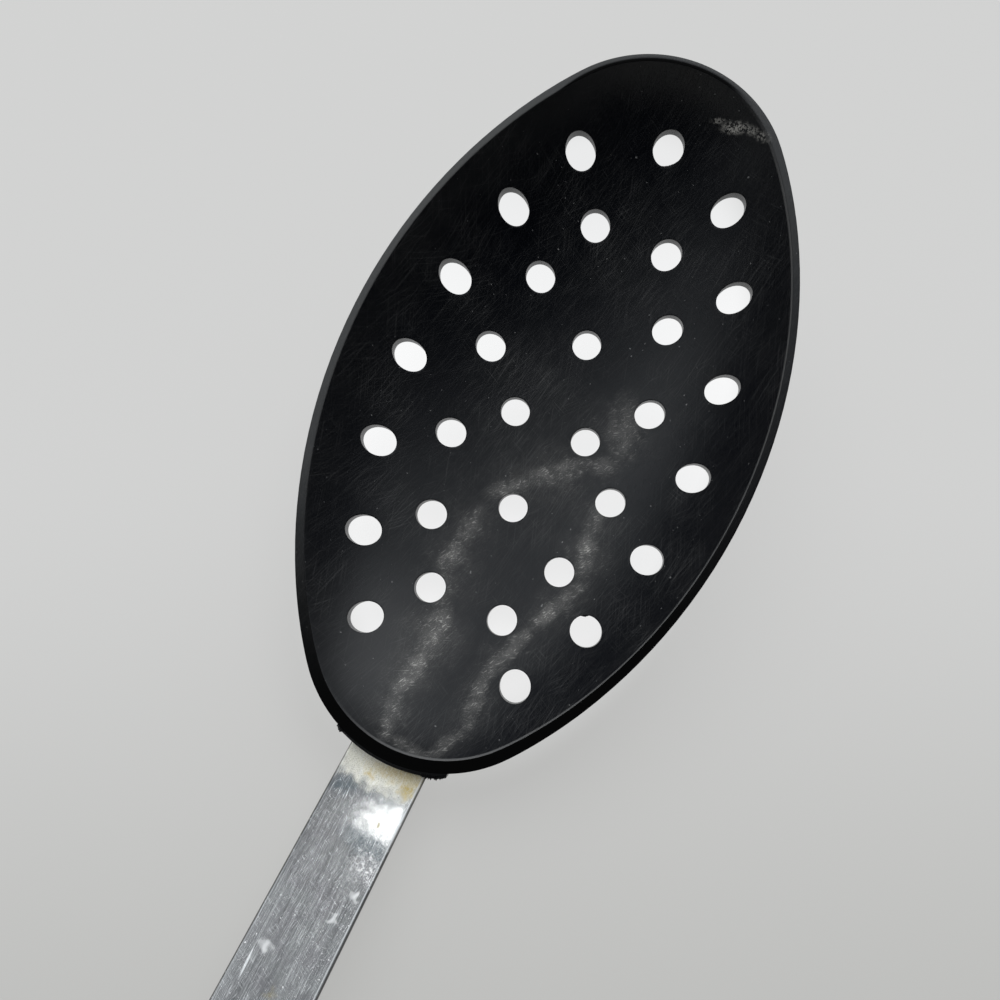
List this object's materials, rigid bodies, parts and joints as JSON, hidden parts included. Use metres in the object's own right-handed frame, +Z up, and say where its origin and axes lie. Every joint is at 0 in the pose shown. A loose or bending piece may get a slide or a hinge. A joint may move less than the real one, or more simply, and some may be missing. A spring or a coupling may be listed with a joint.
{
  "type": "slotted serving spoon",
  "caption": "Perforated serving spoon: a deep black nylon bowl with round drain holes, moulded around the end of a flat, gently bent steel handle with a hang hole.",
  "frame": {"origin": "on the surface the spoon rests on, under the middle of its outline", "axes": "+Z up, +X towards the tip of the bowl, +Y to the left seen from the handle; the spoon lies at rest on the lug under its bowl and on the end of its handle"},
  "size_m": [0.3132, 0.0674, 0.0527],
  "materials": {
    "black_nylon": "moulded black nylon, satin, finely scratched by use",
    "polished_steel": "polished stainless steel with fine scratches along its length"
  },
  "bodies": {
    "root": {"bowl_head": "black_nylon", "handle_strip": "polished_steel"}
  },
  "joints": []
}
